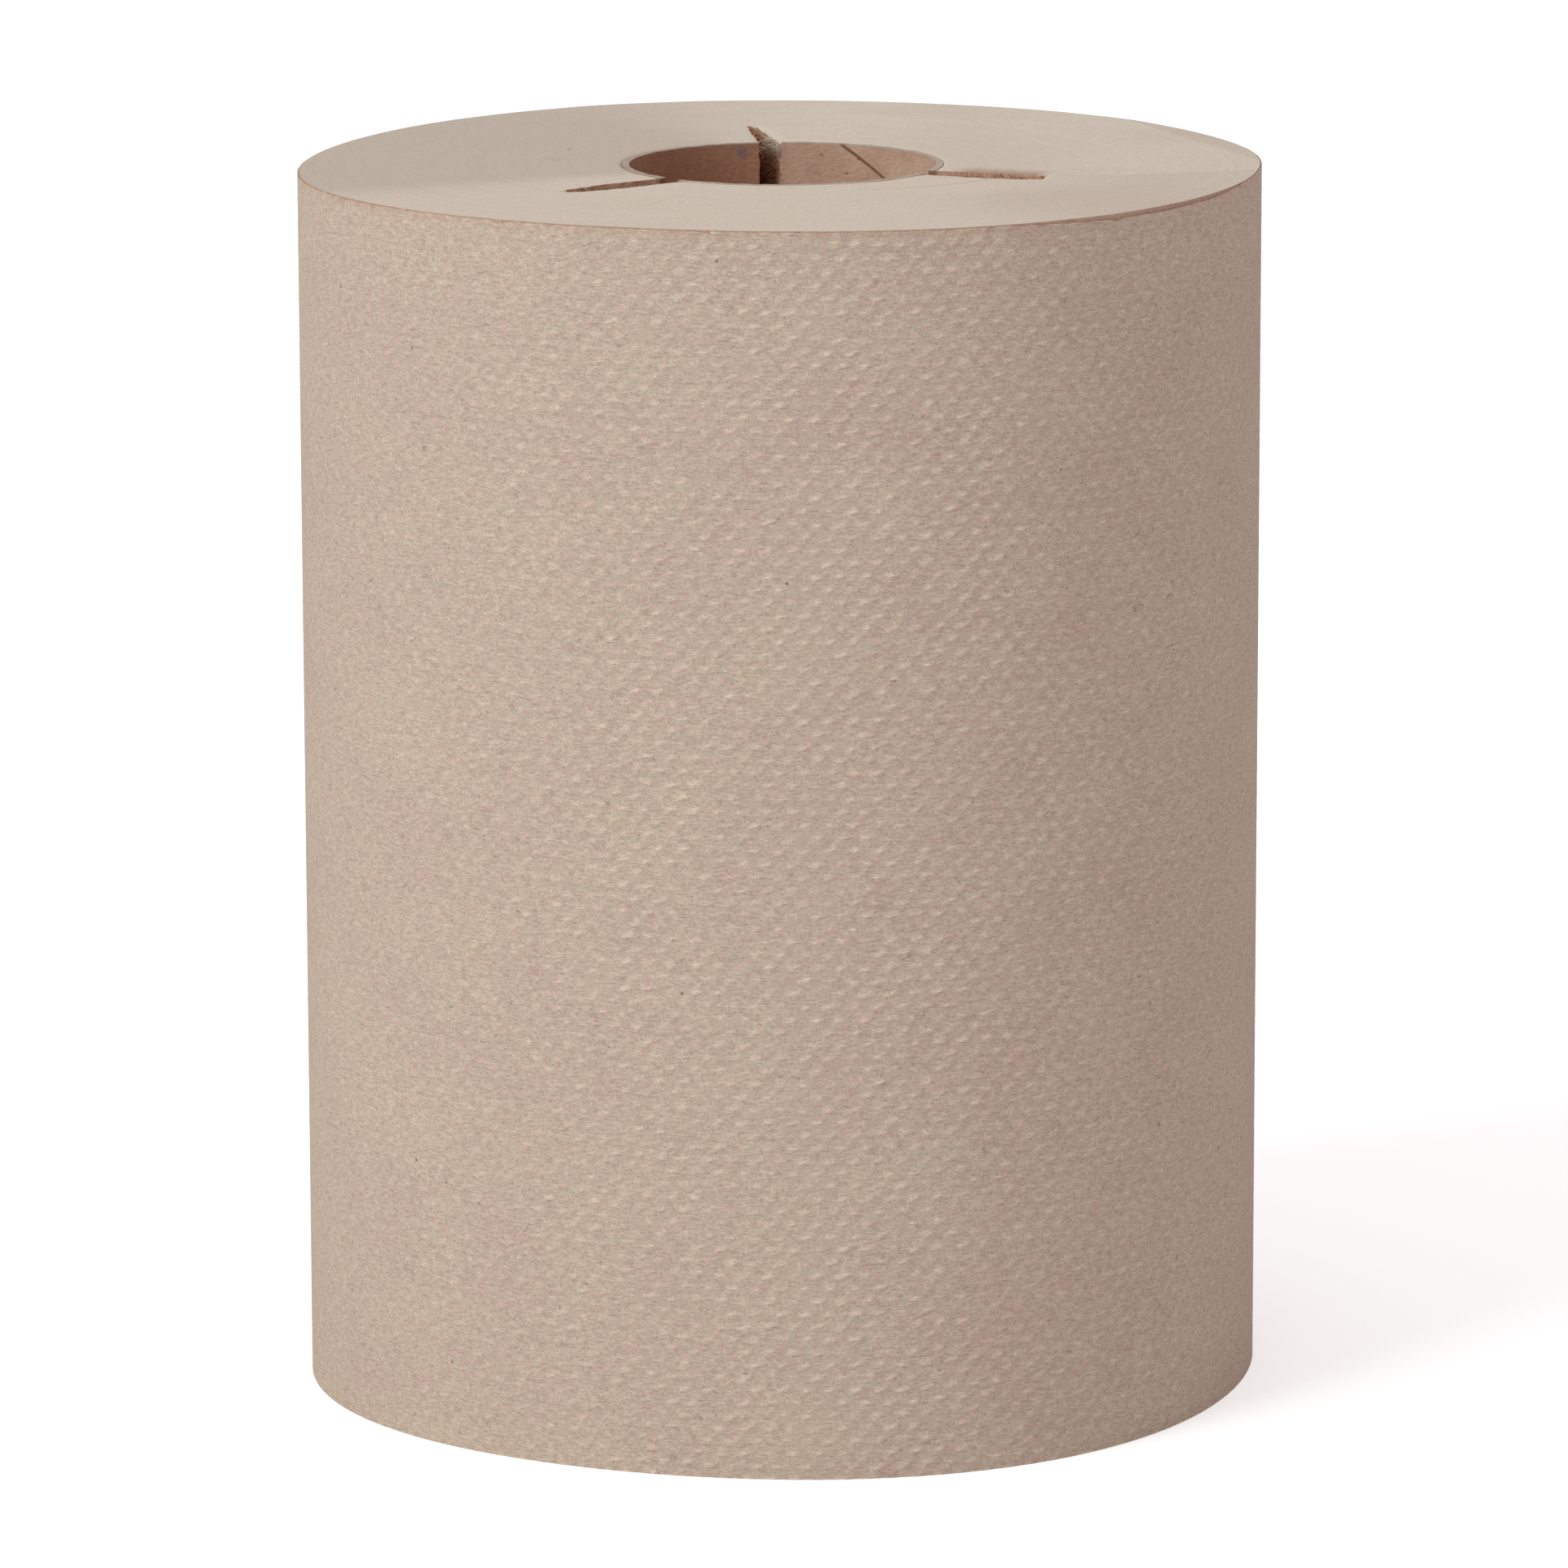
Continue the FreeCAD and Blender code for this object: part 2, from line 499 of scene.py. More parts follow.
def face_drop(radius, angle):
    """How far the upper end face lies below the web's full width."""
    place = polar(radius, angle)
    reach = radius * math.cos(math.radians(angle - pressed_direction))
    share = max(0.0, reach - pressed_distance) / (roll_radius - pressed_distance)
    pressed = pressed_depth * share**pressed_curve
    wavy = face_waviness * (1 + unevenness(place, face_wave_size))
    at_core = dip_at_core * math.exp((core_outside - radius) / dip_at_core_reach)
    return band_drop(radius) + pressed + wavy + at_core


def slot_columns(number, slot):
    """The rows of points that run outwards beside and down in a slot, from right to left."""
    columns = [{"offset": offset, "depth": 0.0} for offset in lip_offsets]
    for number_down, depth in enumerate(wall_depths, 1):
        columns.append({"offset": None, "depth": depth, "spread": number_down / (len(wall_depths) + 1)})
    right = [{"side": -1, **column} for column in columns]
    left = [{"side": 1, **column} for column in reversed(columns)]
    columns = right + [{"side": 0, "offset": None, "depth": slot_depth, "spread": 1.0}] + left
    for column in columns:
        column["slot"] = slot
        column["wear"] = lip_wear[number][column["side"] > 0]
    return columns


def column_angle(column, radius, at_foot):
    """Where a row of points lies. Past the slot's end and at the roll's foot, the rows spread evenly."""
    along, middle = slot_line(column["slot"], radius)
    half_width = slot_half_width(column["slot"], along)
    offset = column["offset"]
    past_end = along > column["slot"]["reach"]
    ragged = 0.0
    if not past_end:
        coarse, fine = edge_wander_sizes
        place = polar(radius, middle + 9 * column["side"])
        ragged = unevenness(place, coarse) + 0.6 * unevenness(place, fine)
        ragged *= edge_wander * min(1.0, along / (1.5 * mm)) * math.exp(-(offset or 0.0) / (2 * mm))
    half_width += ragged
    if offset is None and (past_end or at_foot):
        offset = -column["spread"] * half_width
    elif offset is None:
        inset = 0.03 * mm + wall_slope * column["depth"]
        place = polar(radius, middle + 7 * column["side"], column["depth"])
        inset += wall_tear * abs(unevenness(place, wall_tear_size)) * min(1.0, half_width / (1.6 * mm))
        offset = -min(inset, 0.7 * half_width)
    return middle + math.degrees(column["side"] * (half_width + offset) / radius)


def face_point(column, radius, angle):
    """A point of the upper end face, or of a slot's wall or floor."""
    drop = face_drop(radius, angle)
    if "slot" in column:
        slot = column["slot"]
        along = slot_line(slot, radius)[0]
        held = 1 - smooth_rise(along, slot["reach"] - 0.05 * mm, slot["reach"] + 0.05 * mm)
        fading = 1 - smooth_rise(along, slot["reach"] - 2.0 * mm, slot["reach"] + 3.0 * mm)
        offset = column["offset"] or 0.0
        drop += column["wear"]["drop"] * math.exp(-offset / column["wear"]["reach"]) * fading
        drop = max(drop, column["depth"] * held)
    return polar(radius, angle, web_width - drop)


def end_face_radii():
    """The rings of points on the end faces: close together near the slots and at the bands' edges."""
    radii = {core_outside + further for further in rings_at_core}
    for rings in (rings_near_slots, rings_further_out):
        steps = range(rings["first"], rings["last"] + 1)
        radii |= {core_outside + rings["spacing"] * step for step in steps}
    start = core_outside + band_margin
    while start + band_width < round_face_radius:
        end = start + band_width
        radii |= {start, start + band_ramp / 2, start + band_ramp}
        radii |= {end - band_ramp, end - band_ramp / 2, end}
        start += band_pitch
    for slot in slots:
        radii |= {core_bore + slot["reach"] + further for further in rings_at_slot_end}
    radii = {round(radius, 7) for radius in radii}
    return sorted(radius for radius in radii if radius < round_face_radius) + [round_face_radius]


def wound_mesh():
    """The points and faces of the turns, row by row from the core over the top and down to the foot."""
    columns = []
    for number, slot in enumerate(slots):
        following = slots[(number + 1) % len(slots)]
        own = slot_columns(number, slot)
        columns += own
        after = slot_columns((number + 1) % len(slots), following)[0]
        shares = [step / columns_between_slots for step in range(1, columns_between_slots)]
        columns += [{"from": own[-1], "to": after, "share": share} for share in shares]
    radii = end_face_radii()

    def angle_of(column, radius, at_foot):
        if "slot" in column:
            return column_angle(column, radius, at_foot)
        low = column_angle(column["from"], radius, at_foot)
        high = low + (column_angle(column["to"], radius, at_foot) - low) % 360.0
        return low + (high - low) * column["share"]

    points = []
    for column in columns:
        rows = []
        for radius in radii:
            angle = angle_of(column, radius, False)
            rows.append(face_point(column, radius, angle))
        edge = under_lap_radius(angle)
        for share in shoulder_shares:
            radius = round_face_radius + share * (edge - round_face_radius)
            rows.append(face_point({}, radius, angle))
        top = rows[-1].z
        rows[-1] = polar(edge - shoulder_round, angle, top)
        rows += [polar(edge, angle, top - depth) for depth in side_depths]
        rows.append(polar(edge, angle, foot_round))
        rows.append(polar(edge - foot_round, angle, 0.0))
        for radius in reversed(radii):
            rows.append(polar(radius, angle_of(column, radius, True), band_drop(radius)))
        points += rows
    size = len(rows)
    top_rows = len(radii) + len(shoulder_shares) - 1
    faces = []
    finish_of_face = []
    for number, column in enumerate(columns):
        following = (number + 1) % len(columns)
        for row in range(size):
            above = (row + 1) % size
            corners = [number * size + row, number * size + above]
            corners += [following * size + above, following * size + row]
            faces.append(corners)
            depth = max(column.get("depth", 0.0), columns[following].get("depth", 0.0))
            in_slot = depth > 0 and row < len(radii) and radii[row] < core_bore + column["slot"]["reach"]
            side = top_rows <= row < top_rows + len(side_depths) + 1
            finish_of_face.append(1 if in_slot else 2 if side else 0)
    return points, faces, finish_of_face


def crease(place, bearing, radius, turning, lowest, highest):
    """1 along a thin line on the end face, which starts at a bearing and a radius and then spirals."""
    angle = place.bearing()
    line = abs(place.from_axis() - (radius + (angle - bearing) * turning))
    reached = angle.rise(lowest, lowest + 3) * angle.rise(highest + 3, highest)
    return line.rise(0.3 * mm, 0.08 * mm) * reached


def painted_dent_shade(place):
    """How much painted shade lies on the dented paper along the right slot's far side, fading away from the
    slot.
    """
    x, y, z = place.parts()
    mouth, run = slot_course(slots[2])
    beside = run.x * (y - mouth.y) - run.y * (x - mouth.x)
    along = run.x * (x - mouth.x) + run.y * (y - mouth.y)
    torn = place.node("ShaderNodeCombineXYZ", {}, {0: (x - 0.35 * y) * 4.0, 1: y, 2: 0.0})
    fading = beside.rise(11 * mm, 1.0 * mm) ** 1.6 * (beside > 0.0)
    fading = fading * along.rise(3 * mm, 8 * mm) * along.rise(21.5 * mm, 18 * mm)
    return (fading * (0.5 + 0.9 * torn.grain(3 * mm, 3 * mm, 3.0))).at_most(0.9)


def marked(place, plain, grit):
    """The upper end's colour: its plain colour under painted shade and light by sector, painted shade and a
    painted highlight at the pressed edge, painted shade along creases and beside the right slot, a smudge
    and a fleck.
    """
    x, y, z = place.parts()
    radius = place.from_axis()
    bearing = place.bearing() + 5.0 * (place.grain(12 * mm, 12 * mm, 2.0) - 0.5)
    # Painted shade: the left back of the face is darker, as the light falls on it.
    painted_left_back_shade = bearing.rise(90, 128) - bearing.rise(199, 216)
    cream = plain.painted(painted_left_back_shade * 0.85, 190, 176, 160)
    # Painted light: the front of the face is lighter.
    front = bearing.rise(199, 216) - bearing.rise(320, 340)
    cream = cream.painted(front * 0.5, 211, 196, 179)
    past_fold = y + fold_distance - fold_turn["slope"] * (x - fold_turn["place"]).at_least(0.0)
    # Painted shade: the front right of the face, past the right crease, is darker.
    painted_front_right_shade = bearing.rise(284, 318) * radius.rise(40 * mm, 60 * mm) * past_fold.rise(0.16 * mm, -0.32 * mm)
    painted_front_right_shade = painted_front_right_shade * (1 - 0.4 * bearing.rise(322, 340))
    cream = cream.painted(painted_front_right_shade * 0.58, 191, 175, 160)
    # Painted shade on the pressed shoulder at the back right, and a painted highlight along its edge.
    shoulder_facing = polar(1.0, shoulder_shade_direction)
    past_shoulder_line = x * shoulder_facing.x + y * shoulder_facing.y - shoulder_shade_distance
    cream = cream.painted(past_shoulder_line.rise(0.0, 0.5 * mm) * 0.4, 190, 174, 158)
    cream = cream.painted(abs(past_shoulder_line).rise(0.35 * mm, 0.05 * mm) * 0.3, 222, 211, 196)
    # Painted shade along three thin creases: the right crease, a loose turn's edge and a bend at the front
    # left.
    folded = abs(past_fold).rise(0.48 * mm, 0.08 * mm) * x.rise(43.2 * mm, 48 * mm)
    loose = crease(place, **loose_turn)
    bend = polar(1.0, bend_direction - 90)
    across = x * bend.x + y * bend.y
    bent = abs(across + 0.5 * mm * (place.grain(5 * mm, 5 * mm, 1.0) - 0.5)).rise(0.25 * mm, 0.05 * mm)
    bent = bent * radius.rise(37 * mm, 40 * mm) * radius.rise(58 * mm, 52 * mm) * (y < -25 * mm)
    painted_crease_shade = (folded * 0.35).at_least(loose * 0.55).at_least(bent * 0.3)
    cream = cream.painted(painted_crease_shade, 150, 128, 110)
    smudge = place.distance(smudge_place) + 6 * mm * (grit - 0.5)
    cream = cream.painted(smudge.rise(2.6 * mm, 0.6 * mm) * 0.2, 150, 118, 106)
    fleck = place.distance(fleck_place).rise(0.7 * mm, 0.4 * mm)
    cream = cream.painted(fleck * 0.5, 120, 92, 80)
    # Painted shade where the paper is dented beside the right slot's far side.
    return cream.painted(painted_dent_shade(place), 160, 132, 116)


def cut_end_finish():
    """The sawn ends of the turns: cream, with fine rings. Only the upper end has painted shade and light,
    painted shade along its creases, a smudge and a fleck.
    """
    material, shader, place = matt_finish("cut_ends")
    x, y, z = place.parts()
    ring_place = place.node("ShaderNodeCombineXYZ", {}, {0: place.from_axis() * 60.0, 1: x, 2: y})
    fine = ring_place.grain(30 * mm, 30 * mm, 4.0)
    soft = place.grain(22 * mm, 22 * mm, 3.0)
    grit = place.grain(0.7 * mm, 0.7 * mm, 3.0)
    plain = soft.rise(0.3, 0.7).blend(paint(206, 193, 176), paint(211, 200, 184))
    cream = (z > web_width / 2).blend(plain, marked(place, plain, grit))
    tint = place.grain(1.3 * mm, 1.3 * mm, 3.0).rise(0.3, 0.7)
    cream = cream.painted(abs(tint - 0.5) * 0.5, 198, 172, 156)
    streak = fine.rise(0.62, 0.74) * place.grain(6 * mm, 6 * mm, 2.0).rise(0.5, 0.62)
    cream = cream.painted(streak * 0.3, 168, 148, 130)
    cream = (0.83 + fine * 0.08 + grit * 0.3).shaded(cream)
    fill_in(shader, cream, fine * 0.3 + grit * 0.6, 0.1 * mm)
    return material


def slot_wall_finish():
    """The torn walls of the slots: brown and shaggy with the broken edges of the turns, with painted shade
    and light.
    """
    material, shader, place = matt_finish("slot_walls")
    shag = place.grain(0.5 * mm, 1.2 * mm, 4.0)
    x, y, z = place.parts()
    depth = web_width - z + 2.4 * mm * (place.grain(1.6 * mm, 1.6 * mm, 2.0) - 0.5)
    # Painted shade: the wall's brown, partly painted warm shade, grows darker and browner deeper down the
    # slot.
    brown = depth.rise(1.0 * mm, 6.0 * mm).blend(paint(194, 152, 126), paint(182, 130, 98))
    # Pale torn edges and painted light: the top of the back slot's right wall, above the shade of the
    # slot's left side, is pale.
    back_right = (y > 0.0) * (x > back_wall_slope * y)
    pale = back_right * depth.rise(5.0 * mm, 1.5 * mm)
    brown = brown.painted(pale * 0.85, 196, 182, 162)
    # Painted warm shade in the far pocket of the back slot.
    pocket_painted_shade = (y > pocket_distance) * depth.rise(0.2 * mm, 1.2 * mm)
    brown = brown.painted(pocket_painted_shade * 0.8, 198, 130, 84)
    brown = (0.72 + 0.56 * shag).shaded(brown)
    fill_in(shader, brown, shag, 0.5 * mm)
    return material


def towel_finish(name, first, second, emboss=None):
    """Towel paper: felted fibres between two browns, with dark flecks, stray hairs and its embossing, whose
    crests carry a painted highlight.
    """
    material, shader, place = matt_finish(name)
    cloud = place.grain(24 * mm, 16 * mm, 3.0)
    patch = place.grain(3.4 * mm, 1.7 * mm, 3.0)
    felt = place.grain(1.5 * mm, 0.34 * mm, 3.0)
    dust = place.grain(0.5 * mm, 0.3 * mm, 2.0)
    warm = place.grain(1.5 * mm, 0.9 * mm, 3.0)
    hue = (0.34 * cloud + 0.66 * warm).rise(0.3, 0.7)
    tan = hue.blend(first, second)
    tan = (0.265 + 0.6 * felt + 0.76 * dust + 0.1 * patch).shaded(tan)
    height = 0.8 * felt + 0.3 * dust + 0.3 * patch
    if emboss:
        raised = embossing(place, *emboss)
        # Painted highlight: the crest of each pillow is lightened.
        tan = (0.962 + 0.27 * raised).shaded(tan)
        height = height + 1.3 * raised
        edge = place.parts()[2].rise(web_width - 1.6 * mm, web_width - 0.5 * mm)
        frayed = edge * place.grain(1.4 * mm, 0.7 * mm, 3.0).rise(0.36, 0.6)
        tan = tan.painted(frayed * 0.34, 186, 136, 116)
    pink = place.specks(1.3 * mm, 0.8 * mm, 0.2, 0.3)
    tan = tan.painted(pink * 0.22, 190, 136, 118)
    fleck = place.specks(5.5 * mm, 5.5 * mm, 0.12, 0.05)
    tan = tan.painted(fleck * 0.7, 96, 78, 66)
    grain_dark = place.specks(2.3 * mm, 1.5 * mm, 0.3, 0.07)
    tan = tan.painted(grain_dark * 0.4, 118, 90, 78)
    hair_line = abs(place.grain(3.5 * mm, 1.6 * mm, 1.0) - 0.5) < 0.006
    hair = hair_line * (place.grain(2.4 * mm, 2.0 * mm, 0.0) > 0.66)
    tan = tan.painted(hair * 0.5, 120, 98, 84)
    fill_in(shader, tan, height, 0.2 * mm)
    return material


# The turns under the outermost one show only where it has slipped down; their darker brown is painted shade
# under the lap's edge.
under_lap_shaded_paper = towel_finish("under_lap_shaded_paper", paint(174, 140, 122), paint(178, 150, 130))
points, faces, finish_of_face = wound_mesh()
finishes = [cut_end_finish(), slot_wall_finish(), under_lap_shaded_paper]
wound_piece = add_piece("wound_turns", points, faces, finishes, finish_of_face)
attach(wound_piece, "root")
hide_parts("wound_towel")

# Torn fibres stand out of the slots' walls, where the punch tore through the turns. They belong to
# the wound turns: short curled strands of the same tissue, thickest in the back slot's right wall.
full_turn = 2 * math.pi
fibre_length = 1.3 * mm
fibre_thickness = 0.09 * mm
fibre_tip = 0.3
fibre_curl = 0.8
fibre_spin = (0.3, 0.3, full_turn)
smallest_fibre = (0.5, 0.5, 0.35)
largest_fibre = (1.5, 1.5, 1.4)
fibre_root = 0.1 * mm
fibre_margins = {"from_bore": 0.6 * mm, "from_lip": 0.25 * mm}
fibre_crowding = 1.6
fibre_leans = {"up": (-0.5, 0.7), "along": (-0.9, 0.9)}
fibre_seed = 4
fibre_rows = (
    {"slot": 0, "side": -1, "count": 300, "farthest": 0.75, "deepest": 9.0 * mm},
    {"slot": 0, "side": 1, "count": 60, "farthest": 0.85, "deepest": 1.5 * mm},
    {"slot": 1, "side": -1, "count": 50, "farthest": 0.97, "deepest": 1.2 * mm},
    {"slot": 1, "side": 1, "count": 50, "farthest": 0.97, "deepest": 0.4 * mm},
    {"slot": 2, "side": 1, "count": 60, "farthest": 0.97, "deepest": 1.2 * mm},
    {"slot": 2, "side": -1, "count": 50, "farthest": 0.97, "deepest": 0.4 * mm},
)


def fibre_places():
    """The points that the fibres stand on, and the direction in which each one leans."""
    chance = random.Random(fibre_seed)
    places = []
    leans = []
    for row in fibre_rows:
        slot = slots[row["slot"]]
        mouth, run = slot_course(slot)
        across = Vector((-run.y, run.x, 0)) * row["side"]
        lowest = max(wear["drop"] for wear in lip_wear[row["slot"]])
        for _ in range(row["count"]):
            along = chance.uniform(fibre_margins["from_bore"], slot["reach"] * row["farthest"])
            depth = lowest + fibre_margins["from_lip"]
            depth += row["deepest"] * chance.random() ** fibre_crowding
            out = slot_half_width(slot, along) + fibre_root
            places.append(mouth + run * along + across * out + Vector((0, 0, web_width - depth)))
            up = chance.uniform(*fibre_leans["up"])
            leans.append(run * chance.uniform(*fibre_leans["along"]) - across + Vector((0, 0, up)))
    return places, leans


def open_tree(name):
    """An empty geometry tree, and a function that adds one named input to it."""
    tree = bpy.data.node_groups.new(name, "GeometryNodeTree")
    inputs = tree.nodes.new("NodeGroupInput")

    def size_input(title, kind="NodeSocketFloat"):
        tree.interface.new_socket(name=title, in_out="INPUT", socket_type=kind)
        return Wire(tree, inputs.outputs[title])

    return tree, size_input


def close_tree(tree, shape, finish):
    """Ends a geometry tree: smooth faces, real copies, their finish, and the way out."""
    shape = shape.node("GeometryNodeSetShadeSmooth", {}, {"Geometry": shape, "Shade Smooth": True})
    shape = shape.node("GeometryNodeRealizeInstances", {}, {"Geometry": shape})
    shape = shape.node("GeometryNodeSetMaterial", {}, {"Geometry": shape, "Material": finish})
    tree.interface.new_socket(name="Geometry", in_out="OUTPUT", socket_type="NodeSocketGeometry")
    tree.links.new(shape.socket, tree.nodes.new("NodeGroupOutput").inputs["Geometry"])
    return tree


def torn_fibres_tree():
    """A short curled strand on each point, which leans the way that the point says."""
    tree, size_input = open_tree("torn_fibres")
    places = size_input("Points", "NodeSocketGeometry")
    length = size_input("Fibre Length")
    thickness = size_input("Fibre Thickness")
    highest = size_input("Highest Level")
    seed = size_input("Seed", "NodeSocketInt")
    finish = size_input("Finish", "NodeSocketMaterial")
    start = Wire(tree)
    sizes = {"Vertices": 3, "Side Segments": 4, "Radius Top": thickness * fibre_tip}
    sizes |= {"Radius Bottom": thickness, "Depth": length}
    strand = start.node("GeometryNodeMeshCone", {}, sizes, "Mesh")
    x, y, z = start.node("GeometryNodeInputPosition", {}, {}).parts()
    curl = z * z / length * fibre_curl
    bent = start.node("ShaderNodeCombineXYZ", {}, {0: x + curl, 1: y, 2: z})
    strand = start.node("GeometryNodeSetPosition", {}, {"Geometry": strand, "Position": bent})
    lean = start.node("GeometryNodeInputNamedAttribute", {"data_type": "FLOAT_VECTOR"}, {"Name": "lean"})
    turned = start.node("FunctionNodeAlignRotationToVector", {"axis": "Z"}, {"Vector": lean})
    spin = {0: (0.0, 0.0, 0.0), 1: fibre_spin, "Seed": seed}
    spin = start.node("FunctionNodeRandomValue", {"data_type": "FLOAT_VECTOR"}, spin)
    both = {"Rotation": turned, "Rotate By": spin}
    turned = start.node("FunctionNodeRotateRotation", {"rotation_space": "LOCAL"}, both)
    size = {0: smallest_fibre, 1: largest_fibre, "Seed": seed + 1}
    size = start.node("FunctionNodeRandomValue", {"data_type": "FLOAT_VECTOR"}, size)
    grown = {"Points": places, "Instance": strand, "Rotation": turned, "Scale": size}
    fibres = start.node("GeometryNodeInstanceOnPoints", {}, grown)
    fibres = start.node("GeometryNodeRealizeInstances", {}, {"Geometry": fibres})
    x, y, z = start.node("GeometryNodeInputPosition", {}, {}).parts()
    kept = start.node("ShaderNodeCombineXYZ", {}, {0: x, 1: y, 2: z.at_most(highest)})
    fibres = start.node("GeometryNodeSetPosition", {}, {"Geometry": fibres, "Position": kept})
    return close_tree(tree, fibres, finish)


def grow(name, tree, values, places=(), leans=()):
    """Runs a geometry tree with the values of its named inputs, and keeps the result as a plain mesh."""
    seat = bpy.data.meshes.new(name + "_rule")
    seat.from_pydata([tuple(place) for place in places], [], [])
    if leans:
        numbers = [number for lean in leans for number in lean]
        seat.attributes.new("lean", "FLOAT_VECTOR", "POINT").data.foreach_set("vector", numbers)
    holder = bpy.data.objects.new(name + "_rule", seat)
    bpy.context.scene.collection.objects.link(holder)
    modifier = holder.modifiers.new(name, "NODES")
    modifier.node_group = tree
    for item in tree.interface.items_tree:
        if item.in_out == "INPUT" and item.name in values:
            modifier[item.identifier] = values[item.name]
    shown = holder.evaluated_get(bpy.context.evaluated_depsgraph_get())
    mesh = bpy.data.meshes.new_from_object(shown)
    holder.modifiers.remove(modifier)
    bpy.data.objects.remove(holder)
    mesh.set_sharp_from_angle(angle=sharp_corner)
    piece = bpy.data.objects.new(name, mesh)
    bpy.context.scene.collection.objects.link(piece)
    return piece


def fibre_finish():
    """Fluffy tissue, with painted shade that browns it deeper down in a slot, and browner in the two slots
    at the front.
    """
    material, shader, place = matt_finish("torn_fibres")
    x, y, z = place.parts()
    shade = place.grain(1.2 * mm, 1.2 * mm, 2.0)
    brown = shade.rise(0.3, 0.7).blend(paint(176, 146, 124), paint(200, 180, 158))
    # Painted shade: fibres deeper down in a slot are browner.
    deep = z.rise(web_width - 1.6 * mm, web_width - 5.0 * mm)
    brown = brown.painted(deep, 180, 132, 102)
    in_front = y.rise(0.0, -1.0 * mm)
    brown = brown.painted(in_front * 0.7, 164, 122, 100)
    fill_in(shader, brown, shade, 0.02 * mm)
    return material


fibre_sizes = {
    "Fibre Length": fibre_length,
    "Fibre Thickness": fibre_thickness,
    "Highest Level": web_width - 0.05 * mm,
    "Seed": fibre_seed,
    "Finish": fibre_finish(),
}
fibre_piece = grow("torn_fibres", torn_fibres_tree(), fibre_sizes, *fibre_places())
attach(fibre_piece, "root")
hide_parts("wound_towel")

# The outermost turn is the same web, and shows its embossing: rows of small pillows, each row set
# half a pitch over. Its tail is glued down at the back, and it has slipped down at the front right.
emboss_columns = 127
emboss_rows = 48
points_a_pitch = 4
emboss_height = 0.13 * mm
emboss_direction = -84.0
faintest_emboss = 0.22
deepest_emboss = 1.1
dash_wander = {"across": 0.35, "up": 0.3}
dash_sharpness = {"across": 1.3, "up": 7.0}
dash_lean = 0.2
lap_gap = 0.03 * mm
lap_sunk = 0.01 * mm
edge_wave = 0.14 * mm
edge_set_down = 0.1 * mm
lap_dip = 0.75 * mm
lap_dip_direction = -43.0
lap_dip_half_span = 22.0
nick_curve = 0.6
edge_nicks = (
    {"angle": -48.6, "half_width": 1.1, "depth": 0.35 * mm},
    {"angle": -25.0, "half_width": 7.0, "depth": 0.16 * mm},
    {"angle": -62.0, "half_width": 0.5, "depth": 0.15 * mm},
    {"angle": -124.0, "half_width": 0.6, "depth": 0.2 * mm},
    {"angle": -99.0, "half_width": 0.8, "depth": 0.25 * mm},
    {"angle": 188.0, "half_width": 1.0, "depth": 0.5 * mm},
)


def embossing(place, columns, rows):
    """The crest of each small pillow, from 0 to 1: a short dash that leans up to the right."""
    around = place.node("ShaderNodeAttribute", {"attribute_name": "around"}, {}, "Fac")
    height = place.node("ShaderNodeAttribute", {"attribute_name": "height"}, {}, "Fac")
    crispness = place.node("ShaderNodeAttribute", {"attribute_name": "crispness"}, {}, "Fac")
    wander = place.grain(9 * mm, 9 * mm, 1.0) - 0.5
    across = (around * columns + dash_wander["across"] * wander) * full_turn
    up = (height * rows + dash_wander["up"] * wander) * full_turn
    lean = across.sin() * dash_lean
    wide, high = dash_sharpness["across"], dash_sharpness["up"]
    even = (0.5 + 0.5 * across.cos()) ** wide * (0.5 + 0.5 * (up - lean).cos()) ** high
    odd = (0.5 - 0.5 * across.cos()) ** wide * (0.5 - 0.5 * (up + lean).cos()) ** high
    uneven = place.grain(4 * mm, 2.2 * mm, 1.0).rise(0.25, 0.6)
    return (even + odd) * crispness**1.5 * uneven


